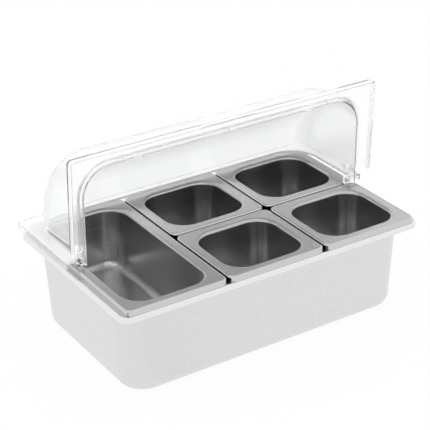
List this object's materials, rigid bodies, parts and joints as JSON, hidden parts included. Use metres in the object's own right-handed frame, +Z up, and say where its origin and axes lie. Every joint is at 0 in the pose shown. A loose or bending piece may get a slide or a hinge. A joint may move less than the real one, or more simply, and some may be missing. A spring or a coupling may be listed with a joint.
{
  "type": "condiment server",
  "caption": "Long steel base pan with smaller inner pans hung side by side on its rim, under a clear roll-top cover whose front half turns back over the rear half.",
  "frame": {"origin": "middle of the base pan's flat bottom, on the surface that it stands on", "axes": "+X along the base pan, towards the end with four small pans; +Y from the open front to the rear; +Z up"},
  "size_m": [0.539, 0.325, 0.3638],
  "materials": {
    "pan_steel": "satin stainless steel with polished rims",
    "cover_clear": "clear polished"
  },
  "bodies": {
    "base": {"base_pan": "pan_steel"},
    "third_pan": {"third_pan": "pan_steel"},
    "mid_front_pan": {"sixth_pan_mid_front": "pan_steel"},
    "mid_rear_pan": {"sixth_pan_mid_rear": "pan_steel"},
    "right_front_pan": {"sixth_pan_right_front": "pan_steel"},
    "right_rear_pan": {"sixth_pan_right_rear": "pan_steel"},
    "cover": {"cover_rear": "cover_clear", "pivot_pin_left": "cover_clear", "pivot_pin_right": "cover_clear"},
    "front_half": {"cover_front": "cover_clear"}
  },
  "joints": [
    {"name": "cover_lift", "type": "slide", "parent": "base", "child": "cover", "axis": [0, 0, 1], "range_m": [0, 0.35]},
    {"name": "cover_turn", "type": "hinge", "parent": "cover", "child": "front_half", "pos_m": [0, 0, 0.1865], "axis": [1, 0, 0], "range_deg": [0, 86.7]},
    {"name": "third_pan_lift", "type": "slide", "parent": "base", "child": "third_pan", "axis": [0, 0, 1], "range_m": [0, 0.16]},
    {"name": "mid_front_pan_lift", "type": "slide", "parent": "base", "child": "mid_front_pan", "axis": [0, 0, 1], "range_m": [0, 0.16]},
    {"name": "mid_rear_pan_lift", "type": "slide", "parent": "base", "child": "mid_rear_pan", "axis": [0, 0, 1], "range_m": [0, 0.16]},
    {"name": "right_front_pan_lift", "type": "slide", "parent": "base", "child": "right_front_pan", "axis": [0, 0, 1], "range_m": [0, 0.16]},
    {"name": "right_rear_pan_lift", "type": "slide", "parent": "base", "child": "right_rear_pan", "axis": [0, 0, 1], "range_m": [0, 0.16]}
  ],
  "couplings": [
    {"joint": "third_pan_lift", "follows": "cover_lift", "ratio": 0.45},
    {"joint": "mid_front_pan_lift", "follows": "cover_lift", "ratio": 0.45},
    {"joint": "mid_rear_pan_lift", "follows": "cover_lift", "ratio": 0.45},
    {"joint": "right_front_pan_lift", "follows": "cover_lift", "ratio": 0.45},
    {"joint": "right_rear_pan_lift", "follows": "cover_lift", "ratio": 0.45}
  ]
}
